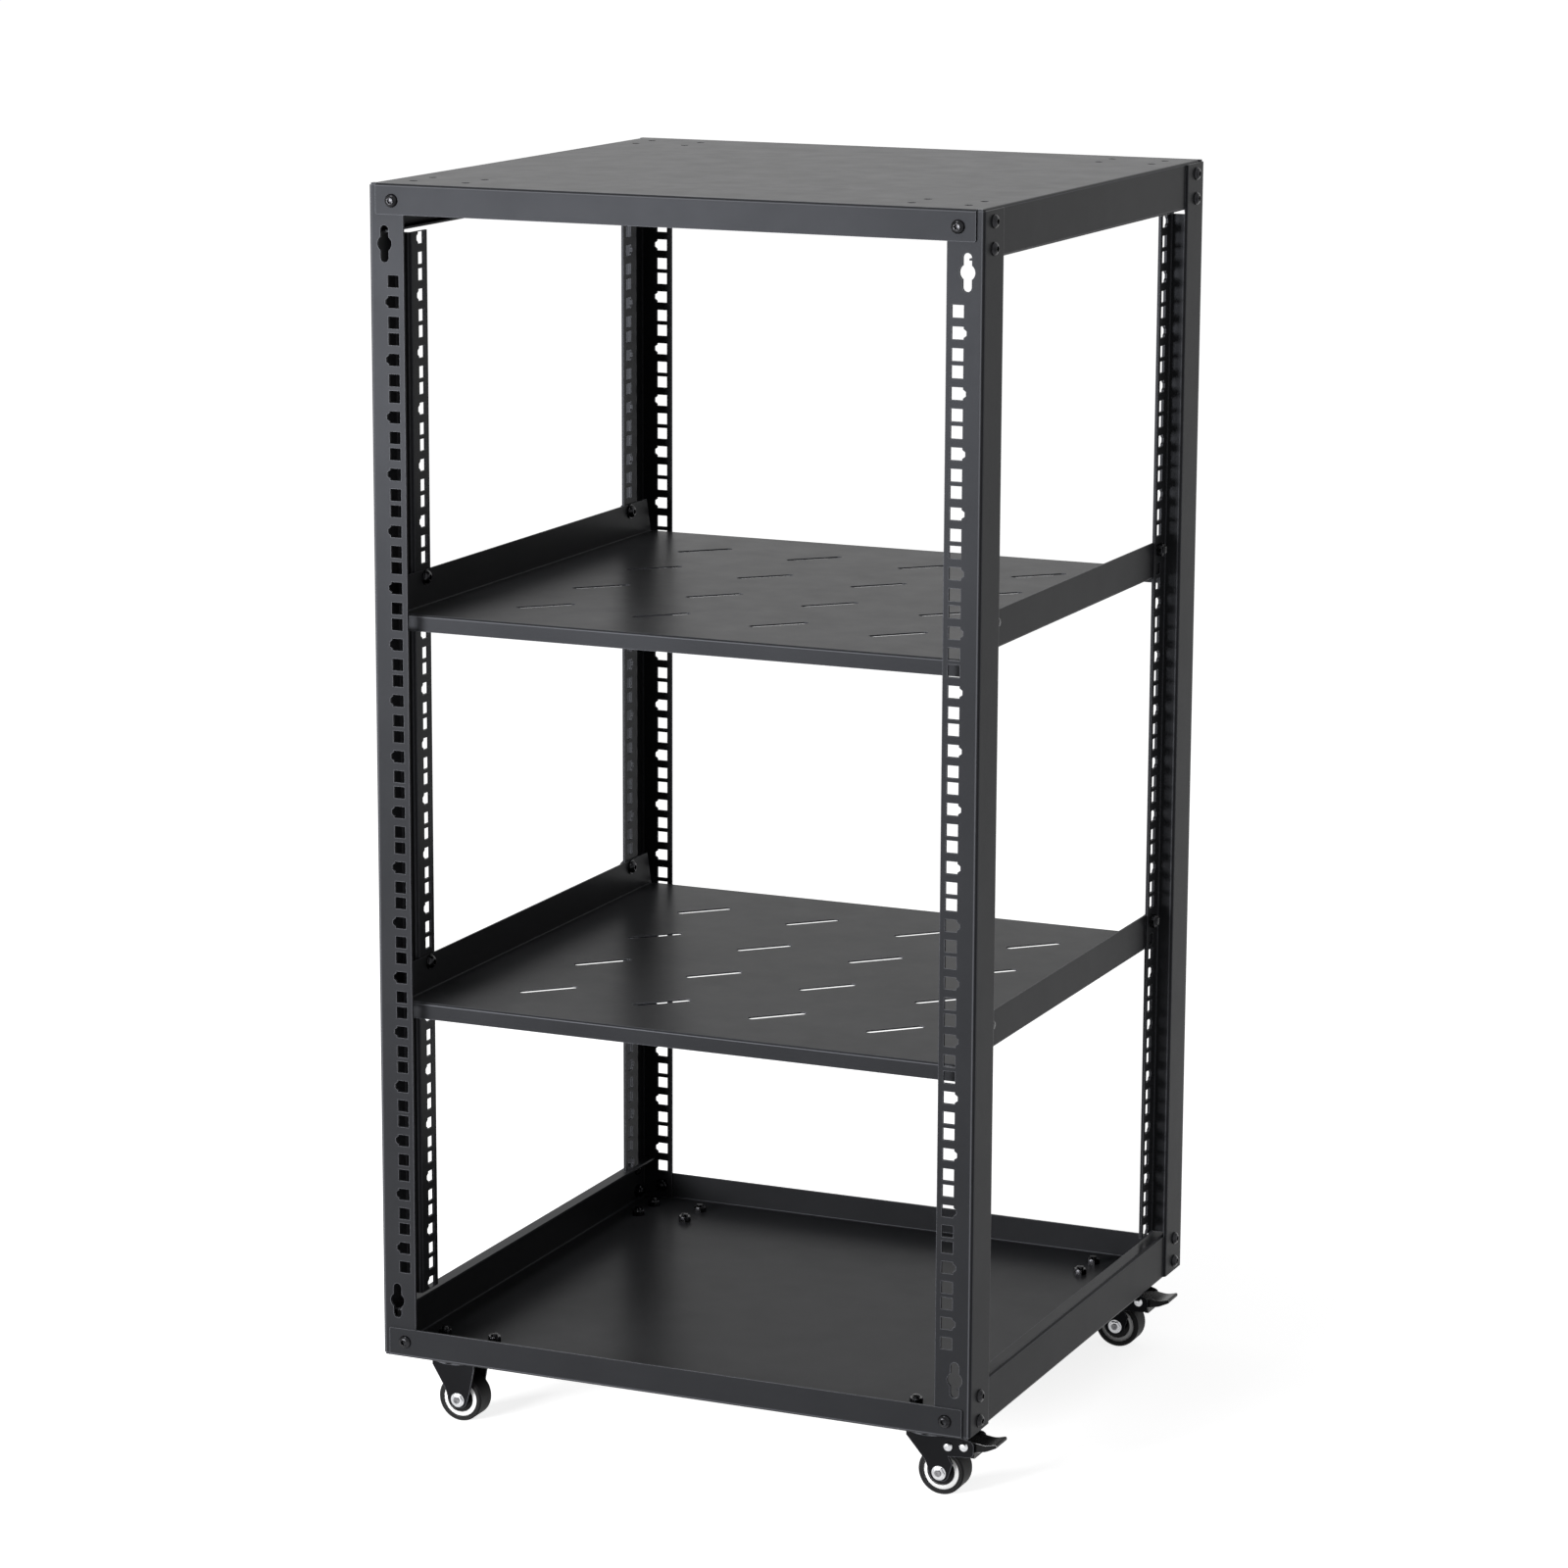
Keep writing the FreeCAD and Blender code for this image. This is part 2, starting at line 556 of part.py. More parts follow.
def make_shelf(label, unit):
    """Shelf with its floor's top face at local z = 0, raised side walls and lowered end lips."""
    body = new_body(label, z=shelf_floor(unit))
    sheet = "dims.shelf_sheet"
    half_width = SHELF_HALF_WIDTH
    half_depth = SHELF_HALF_DEPTH
    inner = "(%s - dims.shelf_sheet)" % half_width
    tall = "dims.shelf_wall_height"
    outer_bend = "dims.shelf_bend + dims.shelf_sheet"
    lip_half = "(%s - dims.shelf_lip_inset)" % half_width
    lip_inner = "(%s - dims.shelf_sheet)" % half_depth
    low = "-dims.shelf_lip_height"
    lips = new_sketch(body, label + "_lip_section", "YZ_Plane")
    add_polygon(lips, [
        ("-" + half_depth, "0"), ("-" + half_depth, low), ("-" + lip_inner, low), ("-" + lip_inner, "-" + sheet),
        (lip_inner, "-" + sheet), (lip_inner, low), (half_depth, low), (half_depth, "0"),
    ])
    pad(body, lips, label + "_floor", "2 * " + lip_half, symmetric=True)
    fillet(body, label + "_lip_outer_bends", "x", [("-" + half_depth, "0"), (half_depth, "0")], outer_bend)
    fillet(body, label + "_lip_inner_bends", "x",
           [("-" + lip_inner, "-" + sheet), (lip_inner, "-" + sheet)], "dims.shelf_bend")

    wall_half = "(%s - dims.shelf_wall_inset)" % half_depth
    right = [(half_width, "-" + sheet), (half_width, tall), (inner, tall), (inner, "0")]
    left = [("-" + x, z) for x, z in reversed(right)]
    section = new_sketch(body, label + "_wall_section", "XZ_Plane")
    add_polygon(section, right + left)
    pad(body, section, label + "_walls", "2 * " + wall_half, symmetric=True)
    fillet(body, label + "_wall_outer_bends", "y",
           [("-" + half_width, "-" + sheet), (half_width, "-" + sheet)], outer_bend)
    fillet(body, label + "_wall_inner_bends", "y", [("-" + inner, "0"), (inner, "0")], "dims.shelf_bend")

    slants = new_sketch(body, label + "_slants", "YZ_Plane")
    for sign in (1, -1):
        top_end = signed("(%s - dims.shelf_wall_slant)" % wall_half, sign)
        beyond = signed("(%s + dims.shelf_wall_slant)" % wall_half, sign)
        corner = signed(wall_half, sign)
        above = "2 * dims.shelf_wall_height"
        add_polygon(slants, [(corner, "dims.shelf_bend"), (top_end, tall), (top_end, above), (beyond, above),
                             (beyond, "dims.shelf_bend")])
    pocket(body, slants, label + "_slant_cut")

    screws = new_sketch(body, label + "_screws", "YZ_Plane")
    for sign in (1, -1):
        depth = signed("(dims.frame_depth / 2 - %s)" % LIP_HOLE_DEPTH, sign)
        add_circle(screws, depth, "dims.shelf_screw_height", "dims.screw_hole / 2")
    pocket(body, screws, label + "_screw_cut")

    reach = "(dims.slot_length - dims.slot_width) / 2"
    run = "%s * cos(dims.slot_angle * 1 deg)" % reach
    rise = "%s * sin(dims.slot_angle * 1 deg)" % reach
    slot = new_sketch(body, label + "_slot", "XY_Plane")
    corner = "-1.5 * dims.slot_pitch"
    add_slot(slot, ("%s - %s" % (corner, run), "%s - %s" % (corner, rise)),
             ("%s + %s" % (corner, run), "%s + %s" % (corner, rise)), "dims.slot_width / 2")
    slot_cut = pocket(body, slot, label + "_slot_cut")
    grid = body.newObject("PartDesign::MultiTransform", label + "_slot_grid")
    grid.Originals = [slot_cut]
    steps = []
    for axis in ("X_Axis", "Y_Axis"):
        step = body.newObject("PartDesign::LinearPattern", "%s_slots_%s" % (label, axis[0].lower()))
        step.Direction = (origin_feature(body, axis), [""])
        step.Mode = "Spacing"
        step.Offset = value("dims.slot_pitch")
        step.setExpression("Offset", "dims.slot_pitch")
        step.Occurrences = 4
        steps.append(step)
    grid.Transformations = steps
    body.Tip = grid
    doc.recompute()
    return body


# ---------------------------------------------------------------- casters

CROWN_TOP = "(dims.plate_sheet + dims.raceway_height + dims.swivel_gap)"
AXLE_DROP = "(dims.caster_height - dims.wheel_radius)"
FORK_INNER = "(dims.wheel_width + 2 * dims.wheel_side_gap)"
FORK_WIDTH = "(%s + 2 * dims.fork_sheet)" % FORK_INNER
PLATE_LENGTH = "(dims.group_pitch_x + 2 * dims.plate_margin_x)"
PLATE_WIDTH = "(dims.group_pitch_y + 2 * dims.plate_margin_y)"
NOSE = "(dims.axle_head_radius + dims.nose_margin)"


def caster_place(x_sign, y_sign):
    """Foot of a caster's swivel axis on the underside of the bottom tray."""
    return signed(CASTER_X, x_sign), signed(CASTER_Y, y_sign)


def revolve(body, sketch, name, axis):
    """Turn a half section about an origin axis of the body."""
    feature = body.newObject("PartDesign::Revolution", name)
    feature.Profile = sketch
    feature.ReferenceAxis = (origin_feature(body, axis), [""])
    feature.Angle = 360
    doc.recompute()
    return feature


def make_caster_plate(label, x_sign, y_sign):
    """Top plate with its raceway cup and the kingpin, fixed under the tray."""
    x, y = caster_place(x_sign, y_sign)
    body = new_body(label, x, y, "dims.caster_height")
    outline = new_sketch(body, label + "_outline", "XY_Plane")
    add_rectangle(outline, "0", "0", PLATE_LENGTH, PLATE_WIDTH)
    pad(body, outline, label + "_pad", "dims.plate_sheet", backwards=True)
    half_length = PLATE_LENGTH + " / 2"
    half_width = PLATE_WIDTH + " / 2"
    corners = [(signed(half_length, i), signed(half_width, j)) for i in (1, -1) for j in (1, -1)]
    fillet(body, label + "_corners", "z", corners, "dims.plate_corner")
    holes = new_sketch(body, label + "_holes", "XY_Plane")
    for x_step in (1, -1):
        for y_step in (1, -1):
            add_circle(holes, signed("dims.group_pitch_x / 2", x_step),
                       signed("dims.group_pitch_y / 2", y_step), "dims.group_hole / 2")
    pocket(body, holes, label + "_hole_cut")
    section = new_sketch(body, label + "_section", "XZ_Plane")
    cup_low = "-(dims.plate_sheet + dims.raceway_height)"
    pin_low = "-(%s + dims.fork_sheet)" % CROWN_TOP
    add_polygon(section, [
        ("0", "-dims.plate_sheet / 2"),
        ("dims.raceway_radius", "-dims.plate_sheet / 2"),
        ("dims.raceway_radius", "%s + dims.raceway_edge" % cup_low),
        ("dims.raceway_radius - dims.raceway_edge", cup_low),
        ("dims.kingpin_radius", cup_low),
        ("dims.kingpin_radius", pin_low),
        ("0", pin_low),
    ])
    revolve(body, section, label + "_raceway", "Z_Axis")
    return body


def make_fork(label, x_sign, y_sign, braked):
    """Pressed fork: a round crown, and two cheeks that hold the axle."""
    x, y = caster_place(x_sign, y_sign)
    body = new_body(label, x, y, "dims.caster_height")
    trail = "dims.brake_trail" if braked else "dims.plain_trail"
    top = "-" + CROWN_TOP
    shoulder = "(%s - dims.cheek_shoulder)" % top
    waist = "-(%s - dims.waist_rise)" % AXLE_DROP
    low = "-(%s + %s)" % (AXLE_DROP, NOSE)
    outline = [
        ("-dims.cheek_back", top),
        ("-dims.cheek_back", shoulder),
        ("%s - dims.cheek_waist" % trail, waist),
        ("%s - %s" % (trail, NOSE), low),
        ("%s + %s" % (trail, NOSE), low),
        ("%s + dims.cheek_waist" % trail, waist),
    ]
    ear_end = "dims.pedal_pivot_x + dims.ear_radius"
    ear_low = "-(dims.pedal_pivot_drop + dims.ear_radius)"
    ear_high = "-(dims.pedal_pivot_drop - dims.ear_radius / 2)"
    if braked:
        outline += [
            ("dims.brace_x", "-(dims.brace_drop + dims.ear_radius)"),
            (ear_end, ear_low),
            (ear_end, ear_high),
            ("dims.cheek_back", top),
        ]
    else:
        outline += [("dims.cheek_back", shoulder), ("dims.cheek_back", top)]
    cheek = new_sketch(body, label + "_cheek", "XZ_Plane")
    add_polygon(cheek, outline)
    pad(body, cheek, label + "_cheeks", FORK_WIDTH, symmetric=True)
    fillet(body, label + "_nose", "y",
           [("%s - %s" % (trail, NOSE), low), ("%s + %s" % (trail, NOSE), low)], "dims.axle_head_radius")
    if braked:
        fillet(body, label + "_ear", "y", [(ear_end, ear_low), (ear_end, ear_high)], "dims.ear_radius / 2")
    inside = new_sketch(body, label + "_inside", "YZ_Plane")
    ceiling = "-(%s + dims.fork_sheet)" % CROWN_TOP
    floor = "-dims.caster_height"
    half = FORK_INNER + " / 2"
    add_polygon(inside, [("-" + half, ceiling), ("-" + half, floor), (half, floor), (half, ceiling)])
    pocket(body, inside, label + "_inside_cut")
    crown = new_sketch(body, label + "_crown", "XY_Plane", top)
    add_circle(crown, "0", "0", "dims.crown_radius")
    pad(body, crown, label + "_crown_pad", "dims.fork_sheet", backwards=True)
    bore = new_sketch(body, label + "_bore", "XY_Plane")
    add_circle(bore, "0", "0", "dims.kingpin_radius + dims.running_fit")
    pocket(body, bore, label + "_bore_cut")
    pins = new_sketch(body, label + "_pins", "XZ_Plane")
    add_circle(pins, trail, "-" + AXLE_DROP, "dims.axle_radius")
    if braked:
        add_circle(pins, "dims.pedal_pivot_x", "-dims.pedal_pivot_drop", "dims.pedal_pin_radius")
        add_circle(pins, "dims.brace_x", "-dims.brace_drop", "dims.pedal_pin_radius")
    pocket(body, pins, label + "_pin_cut")
    return body


def make_pin(body, name, x, z, shank, head):
    """Pin across the fork, with a low head on the outside of each cheek."""
    shaft = new_sketch(body, name + "_shaft", "XZ_Plane")
    add_circle(shaft, x, z, shank)
    pad(body, shaft, name + "_shaft_pad", FORK_WIDTH, symmetric=True)
    for sign in (1, -1):
        side = "rear" if sign > 0 else "front"
        cap = new_sketch(body, "%s_%s_head" % (name, side), "XZ_Plane",
                         signed("(%s / 2)" % FORK_WIDTH, -sign))
        add_circle(cap, x, z, head)
        pad(body, cap, "%s_%s_head_pad" % (name, side), "dims.axle_head", backwards=sign > 0)


def make_axle(label, x_sign, y_sign, braked):
    """Axle of the wheel across the fork."""
    x, y = caster_place(x_sign, y_sign)
    body = new_body(label, x, y, "dims.caster_height")
    trail = "dims.brake_trail" if braked else "dims.plain_trail"
    make_pin(body, label, trail, "-" + AXLE_DROP, "dims.axle_radius", "dims.axle_head_radius")
    return body


def make_pedal_pin(label, x_sign, y_sign):
    """Pin of a braked fork that its pedal turns on."""
    x, y = caster_place(x_sign, y_sign)
    body = new_body(label, x, y, "dims.caster_height")
    make_pin(body, label, "dims.pedal_pivot_x", "-dims.pedal_pivot_drop",
             "dims.pedal_pin_radius", "dims.pedal_pin_radius + dims.pin_head_margin")
    return body


def make_brace(label, x_sign, y_sign):
    """Riveted brace between the cheeks of a braked fork."""
    x, y = caster_place(x_sign, y_sign)
    body = new_body(label, x, y, "dims.caster_height")
    make_pin(body, label, "dims.brace_x", "-dims.brace_drop",
             "dims.pedal_pin_radius", "dims.pedal_pin_radius + dims.pin_head_margin")
    return body


def wheel_place(x_sign, y_sign, braked):
    """Centre of a caster's wheel."""
    x, y = caster_place(x_sign, y_sign)
    trail = "dims.brake_trail" if braked else "dims.plain_trail"
    return "%s + %s" % (x, trail), y, "dims.wheel_radius"


def make_rim(label, x_sign, y_sign, braked):
    """Moulded wheel centre: a boss on the axle, a recess round it and a sloping ring, on both sides."""
    body = new_body(label, *wheel_place(x_sign, y_sign, braked))
    section = new_sketch(body, label + "_section", "XY_Plane")
    bore = "(dims.axle_radius + dims.running_fit)"
    half = "(dims.wheel_width / 2 - dims.rim_set_back)"
    recess = "(%s - dims.rim_recess)" % half
    edge = "(%s - dims.rim_slope)" % half
    add_polygon(section, [
        (bore, "-" + half), (NOSE, "-" + half), (NOSE, "-" + recess), ("dims.rim_opening", "-" + recess),
        ("dims.rim_opening", "-" + half), ("dims.rim_radius", "-" + edge), ("dims.rim_radius", edge),
        ("dims.rim_opening", half), ("dims.rim_opening", recess), (NOSE, recess), (NOSE, half), (bore, half),
    ])
    revolve(body, section, label + "_turn", "Y_Axis")
    return body


def make_tyre(label, x_sign, y_sign, braked):
    """Tyre on the rim, with rounded shoulders."""
    body = new_body(label, *wheel_place(x_sign, y_sign, braked))
    section = new_sketch(body, label + "_section", "XY_Plane")
    half = "dims.wheel_width / 2"
    shoulder = "(dims.wheel_width / 2 - dims.tyre_shoulder)"
    face_radius = "(dims.wheel_radius - dims.tyre_shoulder)"
    add_polygon(section, [
        ("dims.rim_radius", "-" + half), (face_radius, "-" + half),
        ("dims.wheel_radius", "-" + shoulder), ("dims.wheel_radius", shoulder),
        (face_radius, half), ("dims.rim_radius", half),
    ])
    revolve(body, section, label + "_turn", "Y_Axis")
    return body


def make_pedal(label, x_sign, y_sign):
    """Brake pedal: a dished tread that rises to its tip, and a shoe behind the tyre, both around its pin."""
    x, y = caster_place(x_sign, y_sign)
    body = new_body(label, x, y, "dims.caster_height")

    def from_pin(along, up):
        return "dims.pedal_pivot_x + (%s)" % along, "(%s) - dims.pedal_pivot_drop" % up

    boss = "dims.pedal_boss_radius"
    root = from_pin("0", boss)
    dish = from_pin("dims.pedal_dish_reach", "dims.pedal_dish_height")
    tip = from_pin("dims.pedal_reach", "dims.pedal_tip_height")
    under_tip = from_pin("dims.pedal_reach", "dims.pedal_tip_height - dims.pedal_tip_thickness")
    under_dish = from_pin("dims.pedal_dish_reach", "dims.pedal_dish_height - dims.pedal_thickness")
    side = new_sketch(body, label + "_side", "XZ_Plane")
    add_polygon(side, [
        from_pin("-" + boss, boss + " / 2"), root, dish, tip, under_tip, under_dish,
        from_pin("dims.shoe_reach", "-" + boss),
        from_pin("dims.shoe_reach", "-dims.shoe_drop"),
        from_pin("dims.shoe_reach - dims.shoe_thickness", "-dims.shoe_drop"),
        from_pin("0", "-" + boss),
        from_pin("-" + boss, "-%s / 2" % boss),
    ])
    pad(body, side, label + "_pad", "%s - 2 * dims.pedal_side_gap" % FORK_INNER, symmetric=True)
    fillet(body, label + "_dish", "y", [dish, under_dish], "dims.pedal_dish_radius")
    fillet(body, label + "_root", "y", [root], "dims.pedal_boss_radius")
    fillet(body, label + "_tip", "y", [tip, under_tip], "dims.pedal_tip_bend")
    pin = new_sketch(body, label + "_pin", "XZ_Plane")
    add_circle(pin, "dims.pedal_pivot_x", "-dims.pedal_pivot_drop", "dims.pedal_pin_radius + dims.running_fit")
    pocket(body, pin, label + "_pin_cut")
    return body


# ---------------------------------------------------------------- assembly

sub_parts = [
    make_post("post_front_left", 1, True),
    make_post("post_front_right", -1, True),
    make_post("post_rear_left", -1, False),
    make_post("post_rear_right", 1, False),
    make_tray("top_panel", True),
    make_tray("bottom_tray", False),
    make_shelf("upper_shelf", "dims.upper_shelf_unit"),
    make_shelf("lower_shelf", "dims.lower_shelf_unit"),
]
for end, y_sign in (("front", -1), ("rear", 1)):
    for side, x_sign in (("left", -1), ("right", 1)):
        corner = "%s_%s" % (end, side)
        braked = x_sign > 0
        sub_parts.append(make_caster_plate("caster_plate_" + corner, x_sign, y_sign))
        sub_parts.append(make_fork("fork_" + corner, x_sign, y_sign, braked))
        sub_parts.append(make_axle("axle_" + corner, x_sign, y_sign, braked))
        sub_parts.append(make_rim("rim_" + corner, x_sign, y_sign, braked))
        sub_parts.append(make_tyre("tyre_" + corner, x_sign, y_sign, braked))
        if braked:
            sub_parts.append(make_pedal_pin("pedal_pin_" + corner, x_sign, y_sign))
            sub_parts.append(make_brace("brace_" + corner, x_sign, y_sign))
            sub_parts.append(make_pedal("pedal_" + corner, x_sign, y_sign))

doc.recompute()
for item in doc.Objects:
    if "Invalid" in item.State or "Error" in item.State:
        raise RuntimeError("%s failed: %s" % (item.Label, item.State))
for part in sub_parts:
    if part.Shape.isNull() or not part.Shape.isValid():
        raise RuntimeError("%s has no valid shape" % part.Label)

os.makedirs("parts", exist_ok=True)
for part in sub_parts:
    part.Shape.exportStep("parts/%s.step" % part.Label)
    print(part.Label, round(part.Shape.Volume), len(part.Shape.Solids))
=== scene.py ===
"""Looks of the four post open frame rack: materials, small fasteners, stage, lamps and camera.

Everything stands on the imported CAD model, and places come from the boxes of its nodes.
Lengths are in metres, except where a comment says millimetres.
"""
import math

import bmesh
import bpy
from mathutils import Matrix, Vector


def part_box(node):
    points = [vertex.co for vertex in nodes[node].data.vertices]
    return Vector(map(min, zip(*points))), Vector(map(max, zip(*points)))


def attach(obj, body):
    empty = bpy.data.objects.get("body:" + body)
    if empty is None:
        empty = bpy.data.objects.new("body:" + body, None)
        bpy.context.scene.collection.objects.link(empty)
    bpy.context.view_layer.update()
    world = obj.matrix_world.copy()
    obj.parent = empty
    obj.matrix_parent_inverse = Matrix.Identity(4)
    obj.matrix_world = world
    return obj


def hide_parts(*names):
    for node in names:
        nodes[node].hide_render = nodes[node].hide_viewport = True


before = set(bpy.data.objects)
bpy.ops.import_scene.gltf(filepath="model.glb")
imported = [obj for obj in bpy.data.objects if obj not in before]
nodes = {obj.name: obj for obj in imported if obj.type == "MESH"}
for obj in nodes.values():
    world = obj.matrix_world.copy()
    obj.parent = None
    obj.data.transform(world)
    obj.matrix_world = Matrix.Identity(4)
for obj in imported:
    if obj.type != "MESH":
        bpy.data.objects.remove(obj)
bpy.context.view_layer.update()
low = {name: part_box(name)[0] for name in nodes}
high = {name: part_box(name)[1] for name in nodes}

MM = 0.001
CORNERS = ("front_left", "front_right", "rear_left", "rear_right")
BRAKED = ("front_right", "rear_right")


# ---------------------------------------------------------------- materials

# Largest part of a unit normal where a bend leaves its flat face, and where its painted highlight
# line ends.
BEND_STARTS = (0.985, 0.9985)
BEND_ENDS = (0.88, 0.93)
# Match of the rounded normal with the flat one, from a full edge to none.
EDGE_MATCH = (0.8, 0.99)
BEVEL_SAMPLES = 6

COAT_GLOSS = 0.042
COAT_TINT = (0.84, 0.885, 1.0, 1.0)
# Lighter base colours painted along bends and cut edges as highlight lines.
PAINTED_BEND_HIGHLIGHT = (0.075, 0.077, 0.085)
PAINTED_EDGE_HIGHLIGHT = (0.11, 0.113, 0.125)
COAT_EDGE_WIDTH = 0.0009
PLASTIC_EDGE_WIDTH = 0.0008
# The part of a noise's range that is used.
NOISE_LOW = 0.3
NOISE_HIGH = 0.7
# Noise scale, noise detail and depth of each layer of the coat's relief.
COAT_RELIEF = ((900.0, 3.0, 0.00003), (2600.0, 2.0, 0.00001))
METAL_RELIEF = 0.00002
METAL_GRAIN = 0.3
PLASTIC_GRAIN = 0.5


class Tree:
    """The shader nodes of a material or world, with short ways to add and join them."""

    def __init__(self, owner):
        owner.use_nodes = True
        self.nodes = owner.node_tree.nodes
        self.links = owner.node_tree.links

    def add(self, kind, sources=None, values=None, **settings):
        """New node. Sources are linked to its inputs, and values are set on the other inputs."""
        node = self.nodes.new("ShaderNode" + kind)
        for name, setting in settings.items():
            setattr(node, name, setting)
        for socket, value in (values or {}).items():
            node.inputs[socket].default_value = value
        for socket, source in (sources or {}).items():
            self.links.new(source, node.inputs[socket])
        return node

    def combine(self, operation, first, second, use_clamp=False):
        """Result of a calculation with two factors."""
        node = self.add("Math", {0: first, 1: second}, operation=operation, use_clamp=use_clamp)
        return node.outputs[0]

    def span(self, factor, to_low, to_high, from_low=NOISE_LOW, from_high=NOISE_HIGH):
        """Map a factor from one range to another."""
        limits = {"From Min": from_low, "From Max": from_high, "To Min": to_low, "To Max": to_high}
        return self.add("MapRange", {"Value": factor}, limits).outputs["Result"]

    def seen(self):
        """One for camera, glossy and transmission rays, and zero for rays that light surfaces."""
        path = self.add("LightPath").outputs
        mirrored = self.combine("ADD", path["Is Camera Ray"], path["Is Glossy Ray"], True)
        return self.combine("ADD", mirrored, path["Is Transmission Ray"], True)


class Surface(Tree):
    """A new material, and what its Principled shader is given."""

    def __init__(self, name):
        self.material = bpy.data.materials.new(name)
        super().__init__(self.material)
        self.shader = self.nodes["Principled BSDF"]

    def set(self, socket, value):
        """Constant on a socket of the shader."""
        self.shader.inputs[socket].default_value = value

    def drive(self, socket, source):
        """Link into a socket of the shader."""
        self.links.new(source, self.shader.inputs[socket])

    def noise(self, scale, detail=4.0, rough=0.55):
        """Factor of a noise in object space."""
        place = self.add("TexCoord").outputs["Object"]
        shape = {"Scale": scale, "Detail": detail, "Roughness": rough}
        return self.add("TexNoise", {"Vector": place}, shape).outputs["Fac"]

    def colour(self, factor, dark, light, light_from=NOISE_HIGH):
        """Base colour that runs from dark to light over a noise."""
        node = self.add("ValToRGB", {"Fac": factor})
        stops = ((NOISE_LOW, dark), (light_from, light))
        for element, (position, shade) in zip(node.color_ramp.elements, stops):
            element.position = position
            element.color = (*shade, 1.0)
        self.drive("Base Color", node.outputs["Color"])

    def bump(self, factor, distance, strength):
        """Relief from a factor, chained behind the relief that the shader already has."""
        node = self.add("Bump", {"Height": factor}, {"Distance": distance, "Strength": strength})
        socket = self.shader.inputs["Normal"]
        if socket.is_linked:
            self.links.new(socket.links[0].from_socket, node.inputs["Normal"])
        self.links.new(node.outputs["Normal"], socket)

    def lighten(self, amount, shade):
        """Mix a painted highlight colour over the base colour by an amount."""
        base = self.shader.inputs["Base Color"].links[0].from_socket
        mix = self.add("Mix", {"Factor": amount, "A": base}, {"B": (*shade, 1)}, data_type="RGBA")
        self.drive("Base Color", mix.outputs["Result"])

    def paint_bend_highlight(self, highlight):
        """Painted highlight along both sides of a bend, where the surface starts to leave a flat
        face.
        """
        normal = self.add("TexCoord").outputs["Normal"]
        size = self.add("VectorMath", {0: normal}, operation="ABSOLUTE").outputs[0]
        x, y, z = self.add("SeparateXYZ", {0: size}).outputs
        largest = self.combine("MAXIMUM", self.combine("MAXIMUM", x, y), z)
        started = self.span(largest, 1.0, 0.0, *BEND_STARTS)
        not_ended = self.span(largest, 0.0, 1.0, *BEND_ENDS)
        self.lighten(self.combine("MULTIPLY", started, not_ended), highlight)

    def paint_edge_highlight(self, width, highlight):
        """Painted highlight along cut edges: a lighter colour where the rounded normal leaves the
        flat one.
        """
        rounded = self.add("Bevel", values={"Radius": width}, samples=BEVEL_SAMPLES)
        flat = self.add("NewGeometry")
        normals = {0: rounded.outputs["Normal"], 1: flat.outputs["Normal"]}
        match = self.add("VectorMath", normals, operation="DOT_PRODUCT").outputs["Value"]
        self.lighten(self.span(match, 1.0, 0.0, *EDGE_MATCH), highlight)


def powder_coat(name, dark, light, rough, grain):
    """Fine textured black powder coat, with painted highlights along its bends and edges."""
    coat = Surface(name)
    coat.colour(coat.noise(9.0, detail=5.0), dark, light, light_from=0.75)
    coat.drive("Roughness", coat.span(coat.noise(30.0, detail=6.0, rough=0.65), *rough))
    coat.set("Specular IOR Level", COAT_GLOSS)
    coat.set("Specular Tint", COAT_TINT)
    # Painted highlights: lighter base colour along bends and cut edges.
    coat.paint_bend_highlight(PAINTED_BEND_HIGHLIGHT)
    coat.paint_edge_highlight(COAT_EDGE_WIDTH, PAINTED_EDGE_HIGHLIGHT)
    for scale, detail, depth in COAT_RELIEF:
        coat.bump(coat.noise(scale, detail), depth, grain)
    return coat.material


def plain_metal(name, dark, light, rough):
    """Plated or bare steel with a fine uneven grain."""
    metal = Surface(name)
    metal.set("Metallic", 1.0)
    slow = metal.noise(220.0, detail=6.0)
    metal.colour(slow, dark, light)
    metal.drive("Roughness", metal.span(slow, *rough))
    metal.bump(metal.noise(600.0), METAL_RELIEF, METAL_GRAIN)
    return metal.material


def moulded(name, dark, light, rough, grain_scale, relief, gloss=0.5, highlight=None):
    """Moulded plastic or rubber, with painted highlights along its edges when a highlight colour
    is given.
    """
    plastic = Surface(name)
    plastic.set("Specular IOR Level", gloss)
    slow = plastic.noise(60.0, detail=5.0)
    plastic.colour(slow, dark, light)
    plastic.drive("Roughness", plastic.span(slow, *rough))
    if highlight:
        plastic.paint_edge_highlight(PLASTIC_EDGE_WIDTH, highlight)
    plastic.bump(plastic.noise(grain_scale), relief, PLASTIC_GRAIN)
    return plastic.material


paint = powder_coat(
    "rack_powder_coat", (0.017, 0.0174, 0.019), (0.022, 0.0225, 0.0245), (0.3, 0.34), grain=0.35)
caster_paint = powder_coat(
    "caster_black_paint", (0.006, 0.006, 0.0065), (0.01, 0.01, 0.011), (0.26, 0.32), grain=0.2)
black_steel = plain_metal(
    "black_screw_steel", (0.012, 0.012, 0.013), (0.035, 0.035, 0.038), (0.2, 0.3))
zinc = plain_metal(
    "bright_zinc", (0.4, 0.405, 0.42), (0.62, 0.625, 0.64), (0.14, 0.26))
bolt_steel = plain_metal(
    "bolt_end_steel", (0.1, 0.1, 0.105), (0.24, 0.24, 0.25), (0.2, 0.35))
rim_white = moulded(
    "rim_white_plastic", (0.74, 0.74, 0.74), (0.82, 0.82, 0.82), (0.3, 0.42), 900.0, 0.00002)
